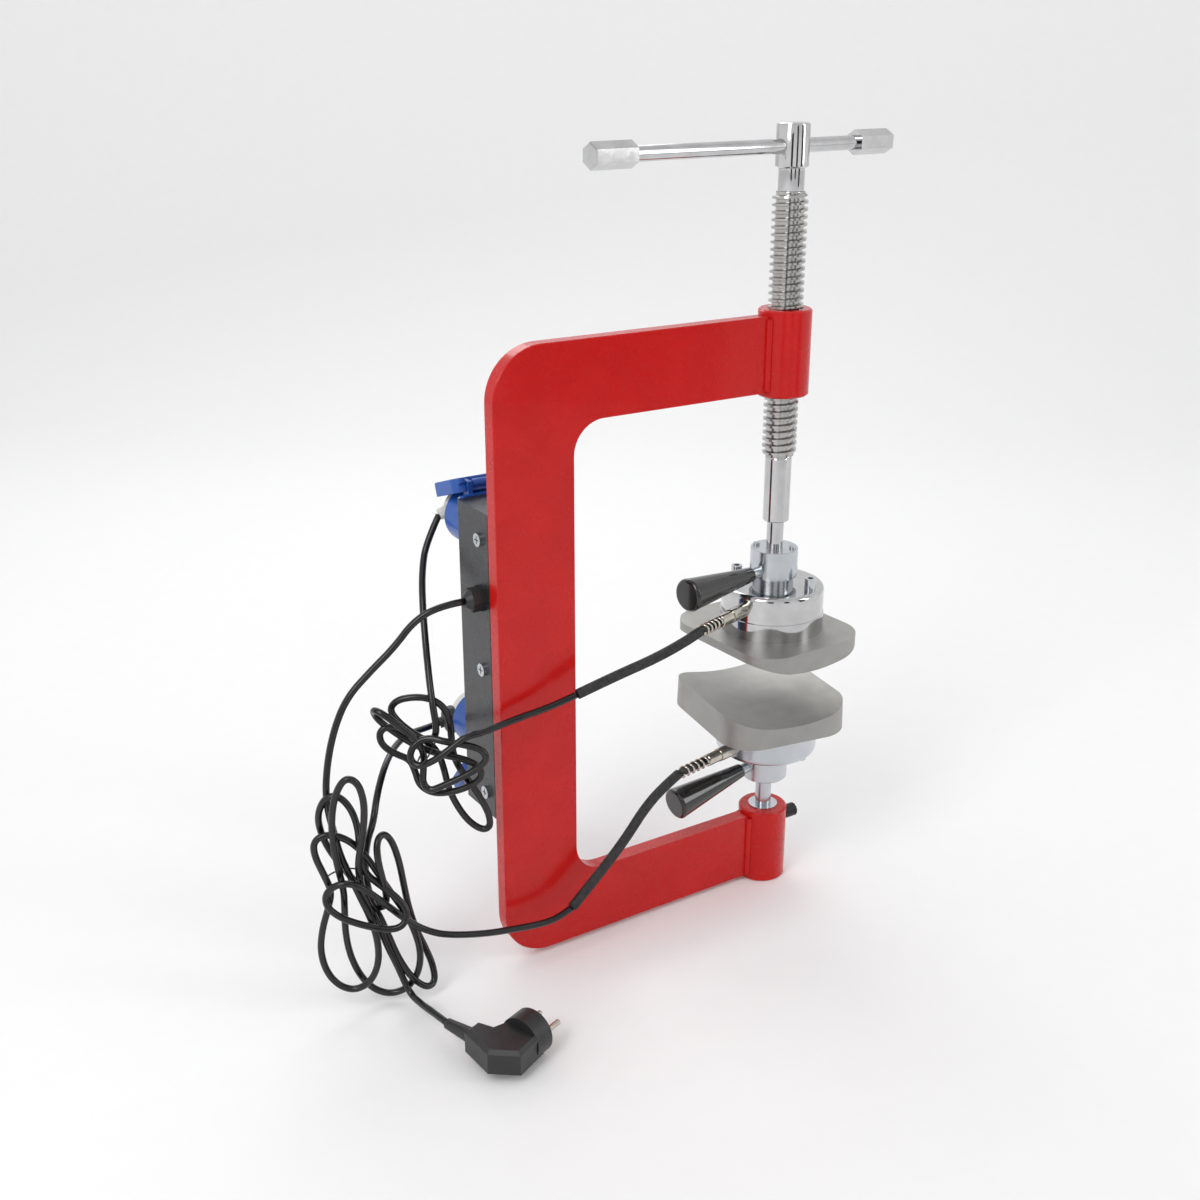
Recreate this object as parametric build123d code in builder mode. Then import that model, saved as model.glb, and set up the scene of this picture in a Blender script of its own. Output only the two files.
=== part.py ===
"""Clamp-frame tyre vulcaniser: a C-frame screw press with two curved heating plates.

Frame: X runs along the arms, from the spine (-X) to the screw axis at X = 0.  Y runs through
the frame plate's thickness, with the control box on the +Y side.  Z is up.  The origin is on
the screw axis, at the bottom face of the lower boss.  All sizes are in millimetres.
"""
from build123d import *
from math import cos, degrees, pi, radians, sin, sqrt, tan
import os

os.makedirs("parts", exist_ok=True)

# ---------------------------------------------------------------- driving dimensions
# frame
reach = 287.0              # spine's back edge to the screw axis
spine_w = 72.0
arm_h = 65.0
plate_t = 14.0
plate_z0 = 4.5             # the bosses stand this far proud of both arms
plate_h = 540.0
outer_r = 44.0
inner_r = 28.0
boss_r = 23.0
boss_l = 74.0
bead_r = 3.6

# spindle, a 30 x 6 trapezoidal screw
thread_r = 15.0
running_gap = 0.05
head_r = 13.9
head_z0, head_z1 = 663.6, 698.2
neck_r = 11.0
thread_z0, thread_z1 = 420.0, 643.9
shank_r = 11.7
pin_r = 7.5
pin_z0, pin_z1 = 322.3, 361.0
collar_r, collar_h = 12.0, 8.0
ball_r = 5.0

# sliding T-bar
bar_angle = 5.0
bar_z = 680.0
bar_r = 6.0
bar_left, bar_right = -208.0, 112.0
cap_l = 40.0
cap_flats = 18.0
cap_bore_depth = 15.0

# heating plates and their housings
plate_ax, plate_by = 62.0, 70.0
plate_corner_r = 31.0
convex_r = 166.0
concave_r = 172.0
upper_turn, lower_turn = 2.5, -9.0
upper_centre = (-3.5, 1.5)   # the plates are bolted on a little off the screw axis
lower_centre = (-8.0, 3.0)
upper_plate_z, upper_plate_t = 260.0, 20.0
lower_plate_z, lower_plate_t = 171.0, 16.4
housing_r = 47.0
housing_wall = 3.0
ring_z1 = 277.0
housing_z1 = 301.5
cup_z0 = 136.0
hub_r = 21.4
spigot_r = 18.5
hub_z0, hub_z1 = 309.5, 331.0
hub_cap_h = 4.5
lower_hub_z0 = 106.0
stem_z0 = 20.0
bush_r, bush_z0 = 11.0, 14.0
element_r, element_h = 31.0, 6.0
bolt_r, bolt_circle = 3.0, 36.0
bolt_angles = (-62.0, 118.0)

# handles
grip_l = 80.0
grip_r0, grip_r1 = 6.5, 15.0
stud_r = 5.0

# heater lead connectors
connector_r = 6.2
lead_angle_up, lead_angle_low = -162.0, -169.0
lead_z_up, lead_z_low = 288.0, 149.0
lead_end_up, lead_end_low = 112.0, 118.0

# clamp screw in the lower boss
clamp_z = 56.0
clamp_r = 4.0

# control box
box_w, box_d, box_h = 70.0, 50.2, 271.0
box_z0 = 141.0
sheet = 1.2
cover_y0 = plate_t / 2 + sheet + 0.1
box_y1 = cover_y0 + box_d
side_screw_y = 20.5
side_screw_z = (161.0, 275.0, 388.0)
gland_y, gland_z = 21.0, 338.0
socket_x = -258.0
socket_z = {"upper": 387.0, "lower": 197.0}
socket_up = {"upper": 1.0, "lower": -1.0}
bezel_r, bezel_h = 25.0, 32.0
hinge_y, hinge_z = 33.5, 8.0
lid_open = {"upper": 71.0, "lower": 140.0}

# mains plug, lying on its rim
plug_face = Vector(-322.0, -116.0, 19.3)
plug_angle = 20.0
plug_r = 19.0
plug_pin_r, plug_pin_l, plug_pin_gap = 2.4, 19.0, 19.0

# cords
cord_d = 5.8
sleeve_d = 8.8
view_right = Vector(0.8432, -0.5375, 0.0)      # along the hanks' width
view_away = Vector(0.5375, 0.8432, 0.0)        # through the hanks' thickness

frame_top = plate_z0 + plate_h
upper_boss_z0 = frame_top + plate_z0 - boss_l


def save(piece, name):
    """Label a finished piece and write it."""
    piece.part.label = name
    export_step(piece.part, "parts/" + name + ".step")


def radial_plane(angle, radius, height, rise=0.0):
    """Plane facing away from the screw axis at the given angle, radius and height."""
    a, t = radians(angle), radians(rise)
    outward = (cos(a) * cos(t), sin(a) * cos(t), sin(t))
    return Plane((radius * cos(a), radius * sin(a), height), (-sin(a), cos(a), 0), outward)


def level(height):
    return Plane.XY.offset(height)


# ---------------------------------------------------------------- C-frame
with BuildPart() as c_frame_plate:
    with BuildSketch(Plane.XZ) as outline:
        with BuildLine():
            Polyline(
                (0, plate_z0), (-reach, plate_z0), (-reach, frame_top), (0, frame_top),
                (0, frame_top - arm_h), (spine_w - reach, frame_top - arm_h),
                (spine_w - reach, plate_z0 + arm_h), (0, plate_z0 + arm_h), close=True)
        make_face()
        fillet(outline.vertices().group_by(Axis.X)[0], outer_r)
        fillet(outline.vertices().filter_by_position(Axis.X, spine_w - reach, spine_w - reach), inner_r)
    extrude(amount=plate_t / 2, both=True)
    chamfer(c_frame_plate.edges().filter_by(Axis.Z).group_by(Axis.X)[0], 0.8)
    with Locations((0, 0, frame_top / 2)):
        Cylinder(boss_r, frame_top * 1.2, mode=Mode.SUBTRACT)
    with Locations(*[Plane((-252, plate_t / 2, z), z_dir=(0, 1, 0)) for z in (215, 338)]):
        Hole(3.0, 10.0)
save(c_frame_plate, "c_frame_plate")

with BuildPart() as upper_boss:
    with BuildSketch(level(upper_boss_z0)):
        Circle(boss_r)
        Circle(thread_r + running_gap, mode=Mode.SUBTRACT)
    extrude(amount=boss_l)
    chamfer(upper_boss.edges().filter_by(GeomType.CIRCLE).group_by(SortBy.RADIUS)[-1], 1.5)
save(upper_boss, "upper_boss")

with BuildPart() as lower_boss:
    with BuildSketch(level(0)):
        Circle(boss_r)
        Circle(bush_r, mode=Mode.SUBTRACT)
    extrude(amount=boss_l)
    chamfer(lower_boss.edges().filter_by(GeomType.CIRCLE).group_by(SortBy.RADIUS)[-1], 1.5)
    with Locations(Plane((boss_r, 0, clamp_z), z_dir=(1, 0, 0))):
        Hole(clamp_r, boss_r - bush_r + 2)
save(lower_boss, "lower_boss")

# weld beads fill the corners between the bosses and the arms' flat sides
corner_x = -sqrt(boss_r ** 2 - (plate_t / 2) ** 2)
with BuildPart() as weld_beads:
    for bottom in (plate_z0 + 2, frame_top - arm_h + 2):
        with BuildSketch(level(bottom)):
            with Locations((corner_x, plate_t / 2), (corner_x, -plate_t / 2)):
                Circle(bead_r)
            Circle(boss_r, mode=Mode.SUBTRACT)
            with Locations((-reach / 2, 0)):
                Rectangle(reach, plate_t, mode=Mode.SUBTRACT)
        extrude(amount=arm_h - 4)
save(weld_beads, "weld_beads")

# ---------------------------------------------------------------- spindle and T-bar
with BuildPart() as spindle:
    for radius, z0, z1 in (
            (pin_r, pin_z0, pin_z1), (shank_r, pin_z1, thread_z0), (thread_r, thread_z0, thread_z1),
            (neck_r, thread_z1, head_z0), (head_r, head_z0, head_z1)):
        with BuildSketch(level(z0)):
            Circle(radius)
        extrude(amount=z1 - z0)
    chamfer(spindle.edges().group_by(Axis.Z)[-1], 2.0)
    with Locations(Plane((0, 0, bar_z), (0, 0, 1), (cos(radians(bar_angle)), sin(radians(bar_angle)), 0))):
        Cylinder(bar_r + running_gap, 4 * head_r, mode=Mode.SUBTRACT)
save(spindle, "spindle")

with BuildPart() as spindle_collar:
    with BuildSketch(level(pin_z0 + 0.2)):
        Circle(collar_r)
        Circle(pin_r, mode=Mode.SUBTRACT)
    extrude(amount=collar_h)
save(spindle_collar, "spindle_collar")

with BuildPart() as thrust_ball:
    with Locations((0, 0, pin_z0 - 0.3 - ball_r)):
        Sphere(ball_r)
save(thrust_ball, "thrust_ball")


def bar_plane(along):
    a = radians(bar_angle)
    return Plane((along * cos(a), along * sin(a), bar_z), (0, 0, 1), (cos(a), sin(a), 0))


bar_end = cap_l - cap_bore_depth
with BuildPart() as t_bar:
    with BuildSketch(bar_plane(bar_left + bar_end)):
        Circle(bar_r)
    extrude(amount=bar_right - bar_left - 2 * bar_end)
save(t_bar, "t_bar")


with BuildPart() as t_bar_caps:
    for start in (bar_left, bar_right - cap_l):
        with BuildSketch(bar_plane(start)):
            RegularPolygon(cap_flats / 2, 6, major_radius=False)
        extrude(amount=cap_l)
    along_bar = Axis((0, 0, bar_z), (cos(radians(bar_angle)), sin(radians(bar_angle)), 0))
    ends = t_bar_caps.faces().filter_by(GeomType.PLANE).sort_by(along_bar)
    chamfer(ends[0].edges() + ends[-1].edges(), 1.2)
    for bore_start in (bar_left + bar_end, bar_right - cap_l):
        with BuildSketch(bar_plane(bore_start)):
            Circle(bar_r)
        extrude(amount=cap_bore_depth, mode=Mode.SUBTRACT)
save(t_bar_caps, "t_bar_caps")


# ---------------------------------------------------------------- heating plates
def plate_outline(height, centre, turn):
    with BuildSketch(level(height)) as outline:
        with Locations(centre):
            RectangleRounded(2 * plate_ax, 2 * plate_by, plate_corner_r, rotation=turn)
    return outline


upper_outline = plate_outline(upper_plate_z - upper_plate_t, upper_centre, upper_turn)
lower_outline = plate_outline(lower_plate_z, lower_centre, lower_turn)

with BuildPart() as upper_plate:
    extrude(upper_outline.sketch, amount=upper_plate_t)
    with Locations(Location((*upper_centre, upper_plate_z - upper_plate_t + convex_r), (0, 0, upper_turn))):
        Cylinder(convex_r, 4 * plate_by, rotation=(90, 0, 0), mode=Mode.INTERSECT)
    with Locations(*[radial_plane(a, bolt_circle, upper_plate_z) for a in bolt_angles]):
        Cylinder(bolt_r, 16, rotation=(90, 0, 0), mode=Mode.SUBTRACT)
save(upper_plate, "upper_plate")

lower_rim = 12.0
with BuildPart() as lower_plate:
    extrude(lower_outline.sketch, amount=lower_plate_t + lower_rim, taper=2.0)
    with Locations(Location((*lower_centre, lower_plate_z + lower_plate_t + concave_r), (0, 0, lower_turn))):
        Cylinder(concave_r, 4 * plate_by, rotation=(90, 0, 0), mode=Mode.SUBTRACT)
    with Locations(*[radial_plane(a, bolt_circle, lower_plate_z) for a in bolt_angles]):
        Cylinder(bolt_r, 16, rotation=(90, 0, 0), mode=Mode.SUBTRACT)
save(lower_plate, "lower_plate")

# ---------------------------------------------------------------- upper heater head
with BuildPart() as upper_base_ring:
    with BuildSketch(level(upper_plate_z)):
        Circle(housing_r)
        Circle(housing_r - 7, mode=Mode.SUBTRACT)
    extrude(amount=ring_z1 - upper_plate_z)
    chamfer(upper_base_ring.edges().group_by(Axis.Z)[-1].sort_by(SortBy.RADIUS)[-1], 0.8)
save(upper_base_ring, "upper_base_ring")

with BuildPart() as upper_housing:
    with BuildSketch(level(ring_z1)):
        Circle(housing_r - 0.6)
    extrude(amount=housing_z1 - ring_z1)
    fillet(upper_housing.edges().group_by(Axis.Z)[-1], 4.0)
    with BuildSketch(level(ring_z1)):
        Circle(housing_r - 0.6 - housing_wall)
    extrude(amount=housing_z1 - ring_z1 - housing_wall, mode=Mode.SUBTRACT)
    with Locations(*[radial_plane(a, bolt_circle, housing_z1) for a in bolt_angles]):
        Cylinder(bolt_r, 16, rotation=(90, 0, 0), mode=Mode.SUBTRACT)
    with BuildSketch(radial_plane(lead_angle_up, housing_r - 12, lead_z_up)):
        Circle(connector_r)
    extrude(amount=20, mode=Mode.SUBTRACT)
save(upper_housing, "upper_housing")

seat_z = pin_z0 - 0.3
pocket_r = ball_r + 0.3
with BuildPart() as upper_hub:
    with BuildSketch(level(housing_z1)):
        Circle(spigot_r)
    extrude(amount=hub_z0 - housing_z1)
    with BuildSketch(level(hub_z0)):
        Circle(hub_r)
    extrude(amount=hub_z1 - hub_z0)
    with BuildSketch(level(seat_z)):
        Circle(collar_r + 0.4)
    extrude(amount=hub_z1 - seat_z, mode=Mode.SUBTRACT)
    with BuildSketch(level(seat_z - 2 * pocket_r)):
        Circle(pocket_r)
    extrude(amount=2 * pocket_r, mode=Mode.SUBTRACT)
    with BuildSketch(radial_plane(-171, pocket_r + 4, 315.5)):
        Circle(stud_r)
    extrude(amount=20, mode=Mode.SUBTRACT)
    with BuildSketch(radial_plane(-48, hub_r - 4, 317)):
        Circle(1.8)
    extrude(amount=8, mode=Mode.SUBTRACT)
save(upper_hub, "upper_hub")

cap_screw_angles = (130.0, -50.0)
with BuildPart() as upper_hub_cap:
    with BuildSketch(level(hub_z1)):
        Circle(hub_r)
        Circle(pin_r + running_gap, mode=Mode.SUBTRACT)
        with PolarLocations(16.5, 2, start_angle=cap_screw_angles[0]):
            Circle(1.6, mode=Mode.SUBTRACT)
    extrude(amount=hub_cap_h)
    chamfer(upper_hub_cap.edges().group_by(Axis.Z)[-1].sort_by(SortBy.RADIUS)[-1], 0.6)
save(upper_hub_cap, "upper_hub_cap")



def housing_bolts(seat, head_h, shank_l, direction):
    """Two socket-head bolts on the housing's bolt circle."""
    with BuildPart() as bolts:
        with BuildSketch(level(seat)):
            with PolarLocations(bolt_circle, 2, start_angle=bolt_angles[0]):
                Circle(5.0)
        extrude(amount=direction * head_h)
        with BuildSketch(level(seat + direction * (head_h - 4))):
            with PolarLocations(bolt_circle, 2, start_angle=bolt_angles[0]):
                RegularPolygon(2.5, 6, major_radius=False)
        extrude(amount=direction * 6, mode=Mode.SUBTRACT)
        with BuildSketch(level(seat)):
            with PolarLocations(bolt_circle, 2, start_angle=bolt_angles[0]):
                Circle(bolt_r)
        extrude(amount=-direction * shank_l)
    return bolts.part


upper_bolts = housing_bolts(housing_z1, 10.0, housing_z1 - upper_plate_z + 7, 1)
lower_bolts = housing_bolts(cup_z0, 5.0, lower_plate_z - cup_z0 + 7, -1)
with BuildPart() as upper_heater_screws:
    add(upper_bolts)
    with BuildSketch(level(hub_z1)):
        with PolarLocations(16.5, 2, start_angle=cap_screw_angles[0]):
            Circle(1.6)
    extrude(amount=hub_cap_h)
    with BuildSketch(level(hub_z1 + hub_cap_h)):
        with PolarLocations(16.5, 2, start_angle=cap_screw_angles[0]):
            Circle(3.0)
    extrude(amount=2.2)
    with BuildSketch(level(hub_z1 + hub_cap_h + 1.0)):
        with PolarLocations(16.5, 2, start_angle=cap_screw_angles[0]):
            Rectangle(5.0, 0.8)
    extrude(amount=2, mode=Mode.SUBTRACT)
save(upper_heater_screws, "upper_heater_screws")

# flat ring elements clamped against the plates' backs
for name, z_plate, away in (("upper", upper_plate_z, 1), ("lower", lower_plate_z, -1)):
    with BuildPart() as element:
        with BuildSketch(level(z_plate)):
            Circle(element_r)
            Circle(5.0, mode=Mode.SUBTRACT)
        extrude(amount=away * element_h)
    save(element, name + "_heating_element")

# ---------------------------------------------------------------- lower heater head
lower_grip_angle, lower_grip_drop = -177.0, -8.0
stem_top = cup_z0 - 10
with BuildPart() as lower_cup:
    with BuildSketch(level(cup_z0)):
        Circle(housing_r)
    extrude(amount=lower_plate_z - cup_z0)
    fillet(lower_cup.edges().group_by(Axis.Z)[0], 6.0)
    with BuildSketch(level(cup_z0 + housing_wall + 1)):
        Circle(housing_r - housing_wall)
    extrude(amount=lower_plate_z - cup_z0, mode=Mode.SUBTRACT)
    with Locations(*[radial_plane(a, bolt_circle, cup_z0) for a in bolt_angles]):
        Cylinder(bolt_r, 16, rotation=(90, 0, 0), mode=Mode.SUBTRACT)
    with BuildSketch(radial_plane(lead_angle_low, housing_r - 12, lead_z_low)):
        Circle(connector_r)
    extrude(amount=20, mode=Mode.SUBTRACT)
    with BuildSketch(radial_plane(155, housing_r - 6, 162)):
        Circle(2.0)
    extrude(amount=20, mode=Mode.SUBTRACT)
save(lower_cup, "lower_cup")

with BuildPart() as lower_hub:
    with BuildSketch(level(lower_hub_z0)):
        Circle(hub_r - 0.2)
    extrude(amount=cup_z0 - lower_hub_z0)
    chamfer(lower_hub.edges().group_by(Axis.Z)[0], 0.8)
    with BuildSketch(level(lower_hub_z0)):
        Circle(pin_r + running_gap)
    extrude(amount=stem_top - lower_hub_z0 + 0.4, mode=Mode.SUBTRACT)
    with BuildSketch(radial_plane(lower_grip_angle, pin_r + 4, 119 + 2, lower_grip_drop)):
        Circle(stud_r)
    extrude(amount=20, mode=Mode.SUBTRACT)
save(lower_hub, "lower_hub")

with BuildPart() as lower_stem:
    with BuildSketch(level(stem_z0)):
        Circle(pin_r)
    extrude(amount=stem_top - stem_z0)
    chamfer(lower_stem.edges().group_by(Axis.Z)[0], 1.0)
save(lower_stem, "lower_stem")

with BuildPart() as lower_bush:
    with BuildSketch(level(bush_z0)):
        Circle(bush_r)
    extrude(amount=boss_l - bush_z0)
    with BuildSketch(level(boss_l)):
        Circle(bush_r + 2.8)
    extrude(amount=1.2)
    with BuildSketch(level(bush_z0)):
        Circle(pin_r + running_gap)
    extrude(amount=boss_l, mode=Mode.SUBTRACT)
    with BuildSketch(Plane((pin_r - 2, 0, clamp_z), z_dir=(1, 0, 0))):
        Circle(clamp_r)
    extrude(amount=bush_r, mode=Mode.SUBTRACT)
save(lower_bush, "lower_bush")

with BuildPart() as lower_heater_screws:
    add(lower_bolts)
    with BuildSketch(radial_plane(155, housing_r - 6, 162)):
        Circle(2.0)
    extrude(amount=14)
    with BuildSketch(radial_plane(155, housing_r + 8, 162)):
        Circle(3.6)
    extrude(amount=2.6)
    with BuildSketch(radial_plane(155, housing_r + 3, 162)):
        RegularPolygon(3.5, 6, major_radius=False)
    extrude(amount=3)
save(lower_heater_screws, "lower_heater_screws")


# ---------------------------------------------------------------- handles and lead connectors
def handle(name, angle, start_r, height, drop):
    """A steel stud in the hub and a tapered black grip on it."""
    start = radial_plane(angle, start_r, height, drop)
    with BuildPart() as stud:
        with BuildSketch(start):
            Circle(stud_r)
        extrude(amount=hub_r + 9 + 14 - start_r)
    save(stud, name + "_handle_stud")
    root = start.offset(hub_r + 9 - start_r)
    with BuildPart() as grip:
        with BuildSketch(root):
            Circle(grip_r0)
        with BuildSketch(root.offset(grip_l)):
            Circle(grip_r1)
        loft()
        fillet(grip.edges().filter_by(GeomType.CIRCLE).sort_by(SortBy.RADIUS)[-1], 3.0)
        with BuildSketch(root):
            Circle(stud_r)
        extrude(amount=14, mode=Mode.SUBTRACT)
    save(grip, name + "_handle_grip")


handle("upper", -171.0, pocket_r + 4, 315.5, 0.0)
handle("lower", lower_grip_angle, pin_r + 4, 119 + 2, lower_grip_drop)


def lead_connector(name, angle, height, end_r):
    """Threaded inlet in the wall, its plug barrel, and the spring that guards the sleeve."""
    inlet_l, barrel_l = 20.0, 16.0
    with BuildPart() as inlet:
        with BuildSketch(radial_plane(angle, housing_r - 7, height)):
            Circle(connector_r)
        extrude(amount=7 + inlet_l)
    save(inlet, name + "_lead_inlet")
    with BuildPart() as barrel:
        with BuildSketch(radial_plane(angle, housing_r + inlet_l, height)):
            Circle(connector_r - 0.7)
        extrude(amount=barrel_l)
        chamfer(barrel.edges().filter_by(GeomType.CIRCLE).sort_by(SortBy.DISTANCE)[-1:], 0.6)
    save(barrel, name + "_lead_barrel")
    with BuildPart() as guard:
        with BuildSketch(radial_plane(angle, housing_r + inlet_l + barrel_l, height)):
            Circle(5.4)
            Circle(4.5, mode=Mode.SUBTRACT)
        extrude(amount=end_r - housing_r - inlet_l - barrel_l)
    save(guard, name + "_lead_spring")


lead_connector("upper", lead_angle_up, lead_z_up, lead_end_up)
lead_connector("lower", lead_angle_low, lead_z_low, lead_end_low)

# ---------------------------------------------------------------- clamp screw
clamp_axis = Plane((0, 0, clamp_z), z_dir=(1, 0, 0))
with BuildPart() as clamp_pad:
    with BuildSketch(clamp_axis.offset(pin_r + 0.4)):
        Circle(clamp_r - running_gap)
    extrude(amount=3.2)
save(clamp_pad, "clamp_pad")

with BuildPart() as clamp_screw:
    with BuildSketch(clamp_axis.offset(pin_r + 0.4 + 3.2 + 0.3)):
        Circle(clamp_r - running_gap)
    extrude(amount=20)
    with BuildSketch(clamp_axis.offset(26)):
        Circle(6.5)
        with PolarLocations(6.9, 12):
            Circle(0.8, mode=Mode.SUBTRACT)
    extrude(amount=13)
save(clamp_screw, "clamp_screw")

# ---------------------------------------------------------------- control box
box_x = -reach + box_w / 2
box_mid_z = box_z0 + box_h / 2
with BuildPart() as box_back:
    with BuildSketch(Plane((box_x, plate_t / 2, box_mid_z), (1, 0, 0), (0, 1, 0))):
        Rectangle(box_w, box_h)
    extrude(amount=sheet)
    with BuildSketch(Plane((box_x, plate_t / 2 + sheet, box_mid_z), (1, 0, 0), (0, 1, 0))):
        with Locations((box_w / 2 - 1.5 * sheet - 0.1, 0), (-box_w / 2 + 1.5 * sheet + 0.1, 0)):
            Rectangle(sheet, box_h - 4 * sheet)
    extrude(amount=24)
    with Locations(Plane((-252, plate_t / 2 + sheet, 215), z_dir=(0, 1, 0)),
                   Plane((-252, plate_t / 2 + sheet, 338), z_dir=(0, 1, 0))):
        Hole(3.0, 3)
    for z in side_screw_z:
        with BuildSketch(Plane((-reach - 1, side_screw_y, z), z_dir=(1, 0, 0))):
            Circle(2.2)
        extrude(amount=box_w + 2, mode=Mode.SUBTRACT)
    with BuildSketch(Plane((-reach - 1, gland_y, gland_z), z_dir=(1, 0, 0))):
        Circle(8.0)
    extrude(amount=6, mode=Mode.SUBTRACT)
save(box_back, "box_back")

with BuildPart() as box_cover:
    with BuildSketch(Plane((box_x, cover_y0, box_mid_z), (1, 0, 0), (0, 1, 0))):
        Rectangle(box_w, box_h)
    extrude(amount=box_d)
    fillet(box_cover.edges().filter_by(Axis.Z).group_by(Axis.Y)[-1], 1.5)
    with BuildSketch(Plane((box_x, cover_y0, box_mid_z), (1, 0, 0), (0, 1, 0))):
        Rectangle(box_w - 2 * sheet, box_h - 2 * sheet)
    extrude(amount=box_d - sheet, mode=Mode.SUBTRACT)
    for z in side_screw_z:
        with BuildSketch(Plane((-reach - 1, side_screw_y, z), z_dir=(1, 0, 0))):
            Circle(2.2)
        extrude(amount=box_w + 2, mode=Mode.SUBTRACT)
    with BuildSketch(Plane((-reach - 1, gland_y, gland_z), z_dir=(1, 0, 0))):
        Circle(8.0)
    extrude(amount=3, mode=Mode.SUBTRACT)
    for z in socket_z.values():
        with BuildSketch(Plane((socket_x, box_y1 - 3, z), (1, 0, 0), (0, 1, 0))):
            Circle(20.5)
            with Locations((22, 22), (-22, 22), (22, -22), (-22, -22)):
                Circle(1.7)
        extrude(amount=6, mode=Mode.SUBTRACT)
save(box_cover, "box_cover")

gland_seat = Plane((-reach, gland_y, gland_z), (0, 1, 0), (-1, 0, 0))
with BuildPart() as gland_body:
    with BuildSketch(gland_seat):
        RegularPolygon(9.6, 6, major_radius=False)
    extrude(amount=3)
    with BuildSketch(gland_seat.offset(-9)):
        Circle(8.0)
    extrude(amount=9)
    with BuildSketch(gland_seat.offset(-9)):
        Circle(5.0)
    extrude(amount=9, mode=Mode.SUBTRACT)
save(gland_body, "gland_body")

with BuildPart() as gland_nut:
    with BuildSketch(gland_seat.offset(3)):
        RegularPolygon(9.0, 6, major_radius=False)
    extrude(amount=8)
    with BuildSketch(gland_seat.offset(11)):
        Circle(8.8)
    extrude(amount=4.5, taper=40)
save(gland_nut, "gland_nut")


# ---------------------------------------------------------------- panel sockets with flap lids
def socket_plane(which, out=0.0):
    """Local Y points towards the hinge and local Z out of the box."""
    up = socket_up[which]
    return Plane((socket_x, box_y1 + out, socket_z[which]), (-up, 0, 0), (0, 1, 0))


def socket_point(which, local_y, local_z):
    return Vector(socket_x, box_y1 + local_z, socket_z[which] + socket_up[which] * local_y)


with BuildPart() as panel_sockets:
    for which in ("upper", "lower"):
        plane = socket_plane(which)
        with BuildSketch(plane):
            RectangleRounded(52, 52, 6)
            with Locations((22, 22), (-22, 22), (22, -22), (-22, -22)):
                Circle(1.7, mode=Mode.SUBTRACT)
        extrude(amount=4)
        with BuildSketch(plane):
            Circle(bezel_r)
        extrude(amount=bezel_h)
        with BuildSketch(plane.offset(4)):
            with Locations((14, 28), (-14, 28)):
                Rectangle(4, 17)
        extrude(amount=9)
        with BuildSketch(plane.offset(4)):
            Circle(19.8)
        extrude(amount=bezel_h, mode=Mode.SUBTRACT)
        with BuildSketch(plane.offset(-22)):
            Circle(20.2)
        extrude(amount=26)
        with BuildSketch(plane.offset(4)):
            with Locations((9.5, 0), (-9.5, 0)):
                Circle(2.6)
        extrude(amount=-20, mode=Mode.SUBTRACT)
        with BuildSketch(Plane(socket_point(which, hinge_y, hinge_z), z_dir=(1, 0, 0))):
            Circle(1.5)
        extrude(amount=20, both=True, mode=Mode.SUBTRACT)
save(panel_sockets, "panel_sockets")


def socket_lid(which):
    """The flap on its hinge pin: a shallow box, open towards the socket, notched round the hinge lugs."""
    half_t, roof, half_w, tip = 6.0, 3.5, 26.0, 46.0
    up = socket_up[which]
    angle = radians(lid_open[which])
    along = Vector(0, sin(angle), -up * cos(angle))
    outer = Vector(0, cos(angle), up * sin(angle))
    pivot = socket_point(which, hinge_y, hinge_z)
    flap = Plane(pivot - outer * half_t, along.cross(outer), outer)
    with BuildPart() as lid:
        with BuildSketch(flap):
            with Locations((0, tip / 2)):
                RectangleRounded(2 * half_w, tip, 9)
        extrude(amount=2 * half_t)
        fillet(lid.faces().sort_by(Axis(pivot, outer))[-1].edges(), 1.5)
        with BuildSketch(flap):
            with Locations((0, tip / 2 + 1.25)):
                RectangleRounded(2 * half_w - 5, tip - 7.5, 7)
        extrude(amount=2 * half_t - roof, mode=Mode.SUBTRACT)
        with BuildSketch(flap):
            with Locations((14, 3), (-14, 3)):
                Rectangle(5, 16)
        extrude(amount=2 * half_t, mode=Mode.SUBTRACT)
        with BuildSketch(Plane(pivot, z_dir=(1, 0, 0))):
            Circle(3.6)
        extrude(amount=11, both=True)
        with BuildSketch(Plane(pivot, z_dir=(1, 0, 0))):
            Circle(1.5 + running_gap)
        extrude(amount=30, both=True, mode=Mode.SUBTRACT)
    save(lid, which + "_socket_lid")


for which in ("upper", "lower"):
    socket_lid(which)

with BuildPart() as lid_hinge_pins:
    for which in ("upper", "lower"):
        with BuildSketch(Plane(socket_point(which, hinge_y, hinge_z), z_dir=(1, 0, 0))):
            Circle(1.5)
        extrude(amount=16, both=True)
save(lid_hinge_pins, "lid_hinge_pins")

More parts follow.
